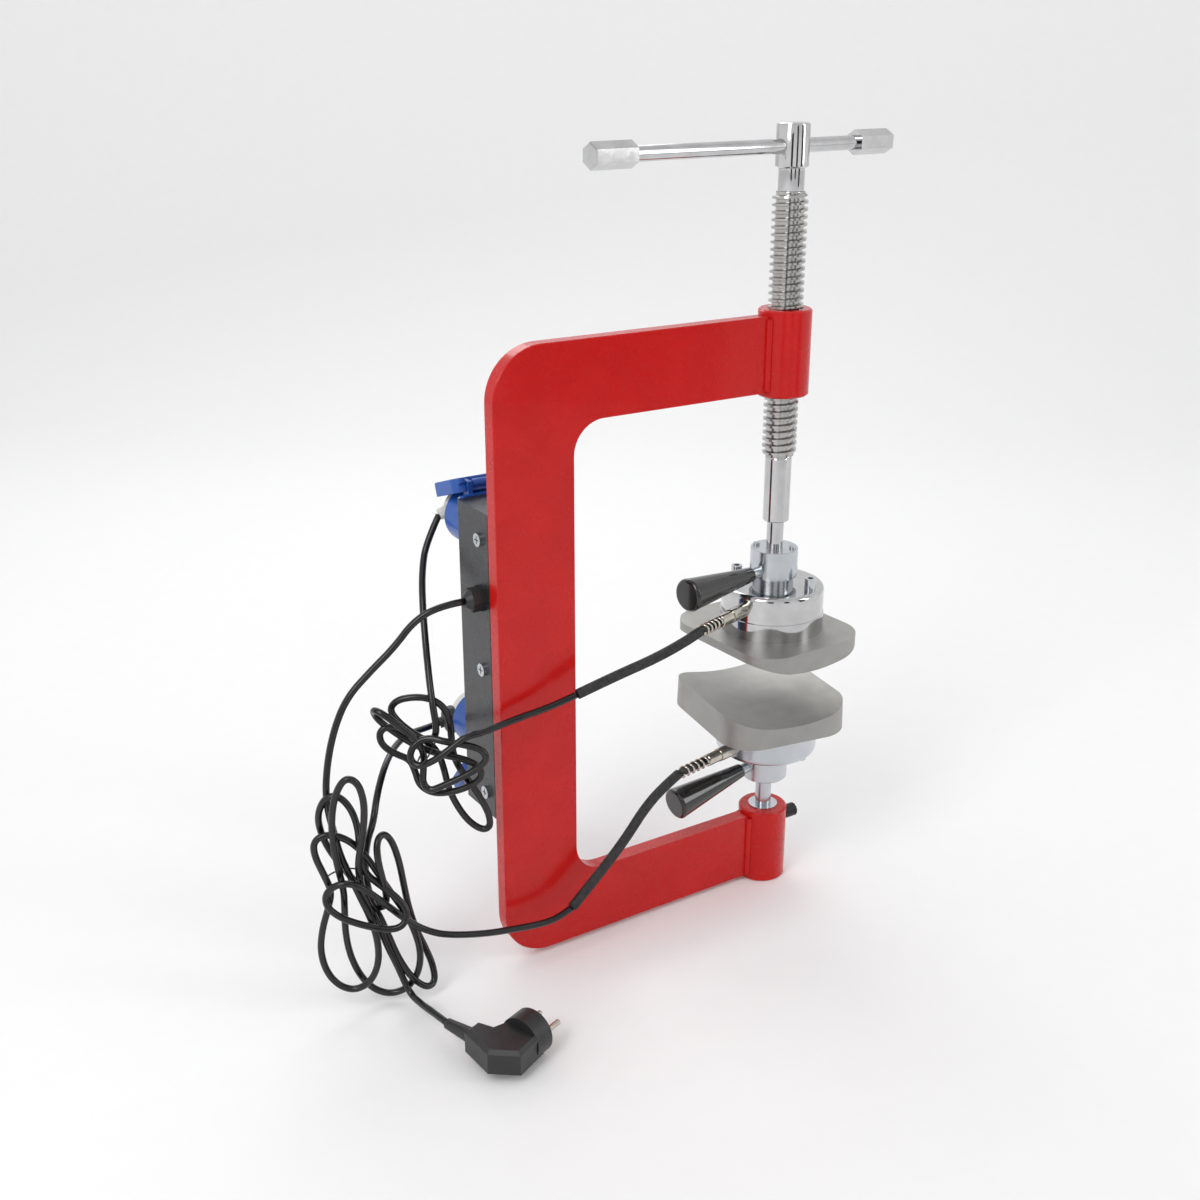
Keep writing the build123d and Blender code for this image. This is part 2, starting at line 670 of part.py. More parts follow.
with BuildPart() as box_fasteners:
    for x, side in ((-reach, -1), (-reach + box_w, 1)):
        for z in side_screw_z:
            seat = Plane((x, side_screw_y, z), (0, 1, 0), (side, 0, 0))
            with BuildSketch(seat.offset(-6)):
                Circle(2.2)
            extrude(amount=6)
            with BuildSketch(seat):
                Circle(5.6)
            extrude(amount=3)
            with BuildSketch(seat.offset(1.6)):
                Rectangle(6.4, 1.2)
                Rectangle(1.2, 6.4)
            extrude(amount=3, mode=Mode.SUBTRACT)
    for z in (215, 338):
        seat = Plane((-252, plate_t / 2 + sheet, z), (1, 0, 0), (0, 1, 0))
        with BuildSketch(seat.offset(-9)):
            Circle(3.0)
        extrude(amount=9)
        with BuildSketch(seat):
            RegularPolygon(5.0, 6, major_radius=False)
        extrude(amount=4)
    for which in ("upper", "lower"):
        with BuildSketch(socket_plane(which, -8)):
            with Locations((22, 22), (-22, 22), (22, -22), (-22, -22)):
                Circle(1.7)
        extrude(amount=12)
        with BuildSketch(socket_plane(which, 4)):
            with Locations((22, 22), (-22, 22), (22, -22), (-22, -22)):
                Circle(3.2)
        extrude(amount=2)
save(box_fasteners, "box_fasteners")


# ---------------------------------------------------------------- heater plugs in the sockets
def heater_plug(name, which, body_end, exit_at, tail_r, tail_l, exit_dir, boot_r):
    """Round plug body in the socket, with a cord boss or a rubber boot out of its side."""
    plane = socket_plane(which)
    exit_plane = Plane(socket_point(which, *exit_at), z_dir=exit_dir)
    with BuildPart() as body:
        with BuildSketch(plane.offset(4)):
            Circle(plug_r - 0.2)
        extrude(amount=bezel_h - 3.5)
        with BuildSketch(plane.offset(bezel_h + 0.5)):
            Circle(plug_r + 1)
        extrude(amount=body_end - bezel_h - 0.5)
        if not boot_r:
            with BuildSketch(exit_plane):
                Circle(tail_r)
            extrude(amount=tail_l)
    save(body, name)
    if boot_r:
        with BuildPart() as boot:
            with BuildSketch(exit_plane):
                Circle(boot_r)
            extrude(amount=tail_l - 3)
            fillet(boot.edges().filter_by(GeomType.CIRCLE).sort_by(Axis.X)[0], boot_r * 0.6)
            with BuildSketch(exit_plane):
                Circle(tail_r)
            extrude(amount=tail_l)
            with BuildSketch(plane):
                Circle(plug_r + 1)
            extrude(amount=body_end + 10, mode=Mode.SUBTRACT)
            with BuildSketch(plane):
                Circle(bezel_r + 0.4)
            extrude(amount=bezel_h + 0.4, mode=Mode.SUBTRACT)
        save(boot, name + "_back")


upper_exit = Vector(-0.90, 0.15, -0.40).normalized()
lower_exit = Vector(-0.93, 0.30, -0.20).normalized()
upper_tail, lower_tail = 27.0, 32.0
upper_exit_at, lower_exit_at = (10.0, 39.5), (0.0, 39.5)
heater_plug("upper_heater_plug", "upper", 45.5, upper_exit_at, 5.0, upper_tail, upper_exit, 0)
heater_plug("lower_heater_plug", "lower", 45.5, lower_exit_at, 5.0, lower_tail, lower_exit, 12.5)

# ---------------------------------------------------------------- mains plug
pins_dir = Vector(cos(radians(plug_angle)), sin(radians(plug_angle)), 0)
exit_side = Vector(-sin(radians(plug_angle)), cos(radians(plug_angle)), 0)
face_plane = Plane(plug_face, exit_side, pins_dir)
body_plane = Plane(plug_face, exit_side, (0, 0, 1))     # local X along the cord's exit, local Y against the pins
relief_start, relief_l, relief_d = 33.0, 27.0, -38.0
relief_plane = Plane(plug_face + exit_side * relief_start + pins_dir * relief_d, pins_dir, exit_side)
with BuildPart() as mains_plug:
    with BuildSketch(body_plane.offset(-10)):
        with BuildLine():
            Polyline((34, 30), (34, 46), (2, 55), (-20, 41), (-17, 10), (14, 10), (20, 27), close=True)
        make_face()
    extrude(amount=21)
    chamfer(mains_plug.faces().sort_by(Axis.Z)[-1].edges(), 3.0)
    with BuildSketch(face_plane.offset(-18)):
        Circle(plug_r)
    extrude(amount=18)
    chamfer(mains_plug.edges().filter_by(GeomType.CIRCLE).sort_by(Axis(plug_face, pins_dir))[-1], 1.0)
    with BuildSketch(relief_plane):
        Circle(6.6)
    with BuildSketch(relief_plane.offset(relief_l)):
        Circle(4.4)
    loft()
save(mains_plug, "mains_plug")

with BuildPart() as plug_pins:
    with BuildSketch(face_plane):
        with Locations((plug_pin_gap / 2, 0), (-plug_pin_gap / 2, 0)):
            Circle(plug_pin_r)
    extrude(amount=plug_pin_l)
    fillet(plug_pins.edges().filter_by(GeomType.CIRCLE).sort_by(Axis(plug_face, pins_dir))[-2:], 1.5)
    for which in ("upper", "lower"):
        with BuildSketch(socket_plane(which, 4)):
            with Locations((plug_pin_gap / 2, 0), (-plug_pin_gap / 2, 0)):
                Circle(plug_pin_r)
        extrude(amount=-plug_pin_l)
save(plug_pins, "plug_pins")


# ---------------------------------------------------------------- cords
def bend_radii(points):
    """One radius per inner point: 0.45 of the shorter run over the tangent of half the turn."""
    radii = []
    for before, here, after in zip(points, points[1:], points[2:]):
        run_in, run_out = here - before, after - here
        turn = radians(run_in.get_angle(run_out))
        radii.append(0.45 * min(run_in.length, run_out.length) / tan(turn / 2))
    return radii


def cord_tube(name, route, diameter):
    """A tube of straight runs and tangent arcs along the route."""
    points = [Vector(*p) for p in route]
    radii = bend_radii(points)
    with BuildPart() as tube:
        with BuildLine() as path:
            FilletPolyline(*points, radius=radii)
        start = path.wires()[0]
        with BuildSketch(Plane(start @ 0, z_dir=start % 0)):
            Circle(diameter / 2)
        sweep()
    save(tube, name)
    length = start.length
    expected = pi * diameter ** 2 / 4 * length
    print(name, "length", round(length), "volume ratio", round(tube.part.volume / expected, 4),
          "least radius", round(min(radii), 1), "runs",
          [round((b - a).length) for a, b in zip(points, points[1:])])


def hank(name, outline, near, far):
    """Outer shape of a bundled length; outline is (across, height), near and far are depths."""
    with BuildPart() as bundle:
        with BuildSketch(Plane(view_away * near, view_right, view_away * -1)) as shape:
            with BuildLine():
                Polyline(*[(across, height) for across, height in outline], close=True)
            make_face()
            fillet(shape.vertices(), 6.0)
        extrude(amount=-(far - near))
    save(bundle, name)


def polar_point(angle, radius, height):
    return (radius * cos(radians(angle)), radius * sin(radians(angle)), height)


start_up = polar_point(lead_angle_up, lead_end_up + 1.2, lead_z_up)
start_low = polar_point(lead_angle_low, lead_end_low + 1.5, lead_z_low)
upper_sleeve_route = [
    start_up, polar_point(lead_angle_up + 0.5, 130, lead_z_up - 1.5), (-157, -41, 277), (-193, -35, 266),
    (-226, -28, 256)]
upper_cord_route = [
    (-226, -28, 256), (-256, -23, 249), (-282, -20, 244), (-309, -13, 236)]
upper_plug_route = [
    (-337, 8, 232), (-336, 20, 262), (-326, 47, 293), (-317, 69, 325), (-307, 88, 346),
    (-296, 101, 364)]
lower_sleeve_route = [
    start_low, polar_point(lead_angle_low, 136, lead_z_low - 5), (-156, -28, 130), (-177, -27, 103),
    (-204, -27, 77), (-233, -28, 53)]
lower_cord_route = [
    (-233, -28, 53), (-257, -28, 48), (-285, -27, 50), (-316, -24, 54), (-350, -19, 62)]
lower_plug_route = [
    (-397, 10, 170), (-386, 25, 186), (-368, 48, 197), (-346, 75, 198), (-322, 97, 194),
    (-304, 106, 189.5)]
mains_route = [
    (-302.5, 21, 338), (-324, 21, 338.6), (-344, 28, 328), (-361, 32, 307), (-381, 35, 290), (-402, 37, 271),
    (-415, 37, 245), (-424, 35, 214), (-428, 31, 186), (-425, 25, 160)]
mains_plug_route = [
    (-381.9, -8.6, 10), (-381.5, -30, 12.5), (-380, -51, 16.5)]

upper_hank_outline = [
    (-343, 240), (-340, 260), (-318, 264), (-292, 261), (-262, 232), (-246, 200), (-246, 139), (-262, 134),
    (-287, 168), (-312, 188), (-336, 214)]
lower_hank_outline = [
    (-392, 152), (-392, 60), (-375, 18), (-345, 1), (-296, 3), (-291, 20), (-305, 62), (-316, 102),
    (-328, 155), (-340, 205), (-352, 224), (-370, 210)]
relief_tip = relief_plane.origin + exit_side * relief_l
mains_plug_route = mains_plug_route + [tuple(relief_tip)]

cord_tube("upper_heater_sleeve", upper_sleeve_route, sleeve_d)
cord_tube("upper_heater_cord", upper_cord_route, cord_d)
tip_up = socket_point("upper", *upper_exit_at) + upper_exit * upper_tail
cord_tube("upper_plug_cord", upper_plug_route + [tuple(tip_up)], cord_d)
cord_tube("lower_heater_sleeve", lower_sleeve_route, sleeve_d)
cord_tube("lower_heater_cord", lower_cord_route, cord_d)
tip_low = socket_point("lower", *lower_exit_at) + lower_exit * lower_tail
cord_tube("lower_plug_cord", lower_plug_route + [tuple(tip_low)], cord_d)
cord_tube("mains_cord", mains_route, cord_d)
cord_tube("mains_plug_cord", mains_plug_route, cord_d)
hank("upper_cord_hank", upper_hank_outline, -192, -158)
hank("lower_cord_bundle", lower_hank_outline, -229, -193)

with BuildPart() as hank_ties:
    for across, height, depth, length in ((-297, 215, -192, 26), (-350, 112, -229, 30)):
        with BuildSketch(Plane(view_right * across + view_away * depth + Vector(0, 0, height),
                               view_right, view_away * -1)):
            RectangleRounded(length, 4, 1.5)
        extrude(amount=1.6)
save(hank_ties, "hank_ties")
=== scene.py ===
import math

import bmesh
import bpy
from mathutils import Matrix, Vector


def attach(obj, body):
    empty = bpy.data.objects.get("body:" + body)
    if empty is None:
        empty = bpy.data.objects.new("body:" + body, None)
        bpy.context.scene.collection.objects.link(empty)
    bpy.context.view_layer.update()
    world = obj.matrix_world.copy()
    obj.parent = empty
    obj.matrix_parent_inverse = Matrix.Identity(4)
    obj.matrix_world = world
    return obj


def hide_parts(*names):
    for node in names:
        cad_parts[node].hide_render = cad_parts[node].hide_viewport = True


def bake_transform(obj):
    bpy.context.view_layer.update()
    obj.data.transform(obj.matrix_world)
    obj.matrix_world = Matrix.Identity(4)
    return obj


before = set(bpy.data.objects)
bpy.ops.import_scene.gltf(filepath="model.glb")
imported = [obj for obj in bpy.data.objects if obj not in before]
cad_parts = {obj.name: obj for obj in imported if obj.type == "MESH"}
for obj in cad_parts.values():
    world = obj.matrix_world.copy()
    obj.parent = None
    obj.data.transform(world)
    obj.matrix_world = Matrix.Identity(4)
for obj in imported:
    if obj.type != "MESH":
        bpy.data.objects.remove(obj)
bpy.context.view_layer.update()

MM = 0.001
CORD_R = 2.9 * MM
SLEEVE_R = 4.4 * MM

# ---------------------------------------------------------------- camera at the photograph's angle
camera = bpy.data.cameras.new("camera")
camera.lens = 42.93
camera.sensor_width = 36.0
camera.clip_end = 50.0
camera_object = bpy.data.objects.new("camera", camera)
camera_object.location = (-0.7883, -0.9446, 0.7519)
camera_object.rotation_euler = (math.radians(69.01), 0.0, math.radians(-32.515))
bpy.context.scene.collection.objects.link(camera_object)
bpy.context.scene.camera = camera_object


# ---------------------------------------------------------------- small helpers
def link(obj):
    bpy.context.scene.collection.objects.link(obj)
    return obj


def mesh_object(name, verts, faces, smooth=True):
    mesh = bpy.data.meshes.new(name)
    mesh.from_pydata([tuple(v) for v in verts], [], faces)
    mesh.validate()
    for polygon in mesh.polygons:
        polygon.use_smooth = smooth
    mesh.update()
    return link(bpy.data.objects.new(name, mesh))


def smooth_line(points):
    """The evaluated NURBS curve with these control points, as a list of points."""
    curve = bpy.data.curves.new("line", "CURVE")
    curve.dimensions = "3D"
    curve.resolution_u = 10
    spline = curve.splines.new("NURBS")
    spline.points.add(len(points) - 1)
    for slot, p in zip(spline.points, points):
        slot.co = (p[0], p[1], p[2], 1.0)
    spline.order_u = 3
    spline.use_endpoint_u = True
    holder = bpy.data.objects.new("line", curve)
    link(holder)
    bpy.context.view_layer.update()
    evaluated = holder.evaluated_get(bpy.context.evaluated_depsgraph_get())
    mesh = bpy.data.meshes.new_from_object(evaluated)
    line = [v.co.copy() for v in mesh.vertices]
    bpy.data.objects.remove(holder)
    bpy.data.curves.remove(curve)
    bpy.data.meshes.remove(mesh)
    clean = [line[0]]
    for p in line[1:]:
        if (p - clean[-1]).length > 1e-6:
            clean.append(p)
    return clean


def ring_faces(rows, sides):
    """The faces of a closed tube of rows rings, with both ends capped."""
    faces = []
    for i in range(rows - 1):
        for k in range(sides):
            n = (k + 1) % sides
            faces.append((i * sides + k, i * sides + n, (i + 1) * sides + n, (i + 1) * sides + k))
    faces.append(tuple(range(sides))[::-1])
    faces.append(tuple((rows - 1) * sides + k for k in range(sides)))
    return faces


def tube(name, line, radius, sides=12):
    """A closed round tube along a line."""
    verts = []
    tangent = (line[1] - line[0]).normalized()
    side = tangent.orthogonal().normalized()
    for i, p in enumerate(line):
        ahead = line[min(i + 1, len(line) - 1)] - line[max(i - 1, 0)]
        turn = tangent.rotation_difference(ahead.normalized())
        side = (turn @ side).normalized()
        tangent = ahead.normalized()
        up = tangent.cross(side)
        for k in range(sides):
            a = math.tau * k / sides
            verts.append(p + side * math.cos(a) * radius + up * math.sin(a) * radius)
    return mesh_object(name, verts, ring_faces(len(line), sides))


# ---------------------------------------------------------------- cords: routes
# The hanks are laid out in an upright plane that faces the camera.
ACROSS = Vector((0.8432, -0.5375, 0.0))
AWAY = Vector((0.5375, 0.8432, 0.0))


def hank_point(across, height, depth):
    """A point of a hank, from its place across the hank, its height and its depth."""
    return (ACROSS * across + AWAY * depth + Vector((0, 0, height))) * MM


def route(points):
    """Points in millimetres as points in metres."""
    return [Vector(p) * MM for p in points]


def polar(angle, radius, height):
    """A point at an angle and radius round the screw's axis."""
    a = math.radians(angle)
    return (radius * math.cos(a), radius * math.sin(a), height)


UP_ANGLE, LOW_ANGLE = -162.0, -169.0
upper_sleeve_route = route([
    polar(UP_ANGLE, 113.2, 288), polar(UP_ANGLE + 0.5, 130, 286.5), (-157, -41, 277), (-193, -33, 266),
    (-226, -28, 256)])
upper_in = route([
    (-226, -28, 256), (-241, -25.2, 251.2), (-257, -22.6, 247.5), (-282, -20, 244), (-309, -13, 236)])
upper_out = route([
    (-337, 8, 232), (-336, 20, 262), (-326, 47, 293), (-317, 69, 325), (-307, 88, 346),
    (-296, 101, 364), (-282.4, 102, 386.2)])
lower_sleeve_route = route([
    polar(LOW_ANGLE, 119.5, 149), polar(LOW_ANGLE, 136, 144), (-156, -28, 130), (-177, -27, 103),
    (-204, -27, 77), (-233, -28, 53)])
lower_in = route([
    (-233, -28, 53), (-246, -28, 47.6), (-262, -27.8, 47), (-285, -27, 50), (-316, -24, 54),
    (-350, -19, 62)])
lower_out = route([
    (-397, 10, 170), (-386, 25, 186), (-368, 48, 197), (-346, 75, 198), (-322, 97, 194),
    (-304, 106, 189.5), (-287.8, 107.6, 190.6)])
mains_in = route([
    (-302.5, 21, 338), (-324, 21, 338.6), (-344, 28, 328), (-361, 32, 307), (-381, 35, 290), (-402, 37, 271),
    (-415, 37, 245), (-424, 35, 214), (-428, 31, 186), (-425, 25, 160)])
mains_out = route([(-381.9, -8.6, 10), (-381.5, -30, 12.5), (-380, -51, 16.5), (-378.2, -72.6, 19.3)])

# The turns of the tied hanks, as (across, height, depth) in the hanks' own upright plane.
upper_turns = [hank_point(*p) for p in (
    # the incoming lead crosses in front and hooks round the bundle
    (-265, 236, -182), (-280, 225, -187), (-293, 216, -189), (-305, 211, -188), (-312, 218, -184),
    (-307, 229, -180), (-295, 233, -178),
    # right-hand loop
    (-283, 231, -182), (-268, 228, -181), (-254, 224, -181), (-248, 216, -181), (-256, 207, -182),
    (-270, 199, -183), (-285, 192, -184), (-296, 187, -184), (-302, 193, -182), (-301, 205, -180),
    (-300, 217, -178),
    # long loop to the upper left
    (-304, 229, -179), (-314, 240, -181), (-326, 251, -181), (-336, 257, -179), (-341, 254, -172),
    (-339, 244, -166), (-331, 235, -164), (-320, 227, -165), (-309, 221, -168),
    # low loop to the right
    (-298, 217, -170), (-284, 213, -171), (-268, 210, -172), (-256, 204, -173), (-254, 195, -174),
    (-263, 187, -175), (-279, 181, -175), (-295, 180, -175), (-306, 187, -174), (-309, 200, -173),
    # left-hand loop
    (-313, 210, -172), (-324, 214, -171), (-335, 221, -170), (-338, 231, -168), (-332, 237, -166),
    (-321, 234, -164), (-309, 227, -163), (-298, 220, -162),
    # hanging loop at the lower right
    (-290, 210, -162), (-286, 195, -163), (-283, 178, -164), (-276, 161, -164), (-267, 147, -164),
    (-256, 139, -164), (-249, 143, -165), (-250, 156, -166), (-256, 170, -167), (-264, 184, -167),
    (-272, 197, -167), (-278, 211, -166),
    # high arc over the top
    (-279, 226, -164), (-280, 241, -162), (-285, 253, -161), (-296, 260, -161), (-310, 261, -161),
    (-323, 258, -161), (-329, 250, -162), (-322, 240, -164), (-310, 231, -167), (-299, 226, -170))]

lower_turns = [hank_point(*p) for p in (
    (-302, 68, -206), (-316, 79, -209), (-328, 94, -214), (-341, 111, -220), (-353, 124, -225),
    # wrap round the front of the bundle
    (-367, 126, -226), (-379, 117, -226), (-379, 104, -226), (-369, 94, -226), (-355, 88, -226),
    (-341, 84, -226), (-328, 82, -226), (-318, 84, -224), (-314, 93, -219), (-321, 104, -215),
    (-336, 115, -212),
    # tall loop on the left
    (-349, 127, -212), (-352, 146, -210), (-352, 167, -209), (-357, 185, -208), (-367, 196, -207),
    (-378, 193, -207), (-385, 177, -206), (-383, 158, -205), (-376, 140, -204), (-365, 122, -203),
    # pointed loop at the lower right
    (-352, 104, -203), (-342, 86, -204), (-334, 65, -206), (-326, 43, -209), (-315, 24, -211),
    (-303, 12, -208), (-297, 13, -200), (-299, 26, -195), (-305, 43, -194), (-312, 61, -194),
    (-317, 83, -195),
    # narrow upright loop on the right
    (-320, 105, -195), (-323, 128, -194), (-328, 148, -195), (-334, 158, -201), (-338, 154, -209),
    (-337, 140, -214), (-334, 122, -214), (-332, 106, -211), (-334, 92, -206), (-341, 86, -200),
    (-348, 92, -195), (-351, 108, -194), (-351, 128, -195), (-347, 150, -199))]

mains_turns = [hank_point(*p) for p in (
    (-368, 141, -209), (-361, 125, -212), (-353, 107, -216),
    # big loop at the lower left
    (-345, 89, -219), (-340, 68, -220), (-340, 47, -221), (-347, 29, -221), (-360, 20, -222),
    (-374, 24, -222), (-384, 38, -222), (-388, 58, -221), (-385, 79, -220), (-379, 98, -219),
    # short loop at the upper left
    (-375, 114, -219), (-381, 130, -218), (-387, 145, -217), (-388, 157, -215), (-380, 163, -213),
    (-368, 161, -211), (-357, 153, -209), (-347, 140, -208), (-339, 124, -207),
    # round loop at the lower right
    (-330, 106, -206), (-319, 87, -206), (-311, 67, -206), (-307, 46, -206), (-310, 26, -207),
    (-321, 10, -207), (-336, 6, -208), (-350, 13, -209), (-360, 29, -210), (-366, 49, -211),
    (-368, 71, -212), (-367, 92, -213), (-366, 113, -215),
    # tallest loop
    (-369, 134, -217), (-371, 156, -219), (-371, 179, -220), (-367, 202, -221), (-358, 219, -221),
    (-348, 215, -220), (-344, 198, -219), (-345, 178, -218), (-349, 157, -217), (-353, 137, -216),
    (-352, 117, -215),
    # down to the way out
    (-347, 98, -214), (-340, 78, -213), (-334, 57, -212), (-326, 36, -212))]

upper_line = smooth_line(upper_in + upper_turns + upper_out)
lower_line = smooth_line(lower_in + lower_turns + lower_out)
mains_line = smooth_line(mains_in + mains_turns + mains_out)
upper_sleeve_line = smooth_line(upper_sleeve_route)
lower_sleeve_line = smooth_line(lower_sleeve_route)

upper_cord = tube("upper_lead", upper_line, CORD_R)
lower_cord = tube("lower_lead", lower_line, CORD_R)
mains_cord = tube("mains_lead", mains_line, CORD_R)
upper_sleeve = tube("upper_lead_sleeve", upper_sleeve_line, SLEEVE_R, 16)
lower_sleeve = tube("lower_lead_sleeve", lower_sleeve_line, SLEEVE_R, 16)

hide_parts("upper_heater_cord", "upper_cord_hank", "upper_plug_cord")
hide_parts("lower_heater_cord", "lower_cord_bundle", "lower_plug_cord")
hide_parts("mains_cord", "mains_plug_cord")
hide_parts("upper_heater_sleeve")
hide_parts("lower_heater_sleeve")
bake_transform(upper_cord)
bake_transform(lower_cord)
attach(mains_cord, "root")
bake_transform(upper_sleeve)
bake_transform(lower_sleeve)


# ---------------------------------------------------------------- materials
def material(name, color, metallic=0.0, roughness=0.5, **inputs):
    """A node material and its shader; a keyword sets the shader's input of that name."""
    mat = bpy.data.materials.new(name)
    mat.use_nodes = True
    shader = mat.node_tree.nodes["Principled BSDF"]
    shader.inputs["Base Color"].default_value = (*color, 1.0)
    shader.inputs["Metallic"].default_value = metallic
    shader.inputs["Roughness"].default_value = roughness
    for key, value in inputs.items():
        shader.inputs[key.replace("_", " ")].default_value = value
    return mat, shader


def add_node(mat, kind, **values):
    """A new node; a keyword sets the input of that name, or else the node's own property."""
    node = mat.node_tree.nodes.new(kind)
    for key, value in values.items():
        if key in node.inputs:
            node.inputs[key].default_value = value
        else:
            setattr(node, key, value)
    return node


def coordinates(mat, scale=(1, 1, 1)):
    """Object coordinates, scaled along each axis."""
    place = add_node(mat, "ShaderNodeTexCoord")
    mapping = add_node(mat, "ShaderNodeMapping")
    mapping.inputs["Scale"].default_value = scale
    mat.node_tree.links.new(place.outputs["Object"], mapping.inputs["Vector"])
    return mapping.outputs["Vector"]


def noise(mat, vector, scale, detail=3.0, rough=0.5):
    node = add_node(mat, "ShaderNodeTexNoise", Scale=scale, Detail=detail, Roughness=rough)
    mat.node_tree.links.new(vector, node.inputs["Vector"])
    return node.outputs["Fac"]


def spread(mat, value, low, high, start=0.3, end=0.7):
    """Maps a noise value's middle range to low..high."""
    node = add_node(mat, "ShaderNodeMapRange")
    node.inputs["From Min"].default_value = start
    node.inputs["From Max"].default_value = end
    node.inputs["To Min"].default_value = low
    node.inputs["To Max"].default_value = high
    mat.node_tree.links.new(value, node.inputs["Value"])
    return node.outputs["Result"]


# the sockets of a Mix node that is set to colours
MIX_FACTOR, MIX_A, MIX_B, MIX_RESULT = 0, 6, 7, 2


def mix_colors(mat, factor, a, b):
    node = add_node(mat, "ShaderNodeMix", data_type="RGBA")
    node.inputs[MIX_A].default_value = (*a, 1.0)
    node.inputs[MIX_B].default_value = (*b, 1.0)
    mat.node_tree.links.new(factor, node.inputs[MIX_FACTOR])
    return node.outputs[MIX_RESULT]


def bump(mat, shader, heights):
    """Chains bumps from (height socket, strength, distance in metres)."""
    last = None
    for height, strength, distance in heights:
        node = add_node(mat, "ShaderNodeBump", Strength=strength, Distance=distance)
        mat.node_tree.links.new(height, node.inputs["Height"])
        if last:
            mat.node_tree.links.new(last, node.inputs["Normal"])
        last = node.outputs["Normal"]
    mat.node_tree.links.new(last, shader.inputs["Normal"])


def surface(name, low, high, metallic, rough, grain, bumps, stretch=(1, 1, 1), **inputs):
    """A finish with mottled colour and roughness, and layered bumps of (scale, strength, distance)."""
    mat, shader = material(name, low, metallic, sum(rough) / 2, **inputs)
    vector = coordinates(mat, stretch)
    mottle = noise(mat, vector, grain, 4.0, 0.6)
    color = mix_colors(mat, spread(mat, mottle, 0, 1, 0.35, 0.65), low, high)
    mat.node_tree.links.new(color, shader.inputs["Base Color"])
    smear = noise(mat, vector, grain * 2.3, 5.0, 0.65)
    mat.node_tree.links.new(spread(mat, smear, *rough), shader.inputs["Roughness"])
    bump(mat, shader, [(noise(mat, vector, s, 3.0), k, d) for s, k, d in bumps])
    return mat


red = surface("red_powder_coat", (0.50, 0.004, 0.003), (0.545, 0.006, 0.005), 0.0, (0.24, 0.30), 30,
              [(420, 0.10, 0.0005), (90, 0.06, 0.001)],
              Specular_IOR_Level=0.25, Coat_Weight=0.18, Coat_Roughness=0.06)
chrome = surface("polished_chrome", (0.50, 0.50, 0.505), (0.58, 0.58, 0.585), 1.0, (0.06, 0.11), 60,
                 [(300, 0.03, 0.0004)])
turned = surface("turned_chrome", (0.42, 0.41, 0.40), (0.54, 0.53, 0.52), 1.0, (0.10, 0.20), 40,
                 [(900, 0.10, 0.0003)], (1, 1, 14))
zinc = surface("bright_zinc", (0.50, 0.53, 0.56), (0.58, 0.60, 0.63), 1.0, (0.18, 0.28), 30,
               [(700, 0.08, 0.0003), (60, 0.05, 0.0008)])
satin = surface("satin_aluminium", (0.33, 0.325, 0.31), (0.37, 0.365, 0.35), 0.85, (0.40, 0.46), 35,
                [(2600, 0.22, 0.0002), (180, 0.08, 0.0006)])
nickel = surface("bright_nickel", (0.48, 0.44, 0.38), (0.60, 0.57, 0.51), 1.0, (0.12, 0.22), 90,
                 [(800, 0.08, 0.0003)])
steel = surface("ground_steel", (0.48, 0.48, 0.49), (0.58, 0.58, 0.59), 1.0, (0.18, 0.30), 90,
                [(900, 0.08, 0.0003)])
brass = surface("turned_brass", (0.70, 0.52, 0.22), (0.80, 0.63, 0.31), 1.0, (0.2, 0.3), 90,
                [(900, 0.08, 0.0003)])
black_oxide = surface("black_oxide", (0.018, 0.018, 0.02), (0.035, 0.035, 0.037), 0.6, (0.30, 0.42), 80,
                      [(900, 0.12, 0.0003)])
bakelite = surface("black_bakelite", (0.008, 0.008, 0.009), (0.014, 0.013, 0.013), 0.0, (0.08, 0.16), 50,
                   [(160, 0.05, 0.0006)], Coat_Weight=0.5, Coat_Roughness=0.06)
heat_tint = surface("heat_tinted_sheet", (0.30, 0.25, 0.20), (0.42, 0.38, 0.34), 1.0, (0.35, 0.5), 50,
                    [(600, 0.1, 0.0003)])
box_paint = surface("dark_box_paint", (0.014, 0.015, 0.018), (0.021, 0.022, 0.026), 0.0, (0.24, 0.34), 40,
                    [(700, 0.16, 0.0004), (120, 0.06, 0.0008)])
black_plastic = surface("black_moulded_plastic", (0.014, 0.014, 0.015), (0.022, 0.022, 0.023), 0.0,
                        (0.34, 0.46), 60, [(1100, 0.16, 0.0003)])
blue = surface("blue_moulded_plastic", (0.010, 0.075, 0.34), (0.014, 0.095, 0.40), 0.0, (0.28, 0.38), 40,
               [(700, 0.10, 0.0003)])
ivory = surface("ivory_moulded_plastic", (0.70, 0.69, 0.64), (0.78, 0.77, 0.73), 0.0, (0.28, 0.38), 40,
                [(700, 0.08, 0.0003)])
pvc = surface("black_pvc_sheath", (0.005, 0.005, 0.0055), (0.009, 0.009, 0.0095), 0.0, (0.15, 0.24), 70,
              [(900, 0.14, 0.0003), (160, 0.06, 0.0006)])
braid = surface("woven_sleeving", (0.010, 0.010, 0.011), (0.030, 0.030, 0.032), 0.0, (0.55, 0.75), 260,
                [(1500, 0.5, 0.0005)])


def give(mat, names):
    """Sets the material of the named pieces."""
    for name in names:
        obj = bpy.data.objects.get(name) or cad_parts[name]
        obj.data.materials.clear()
        obj.data.materials.append(mat)


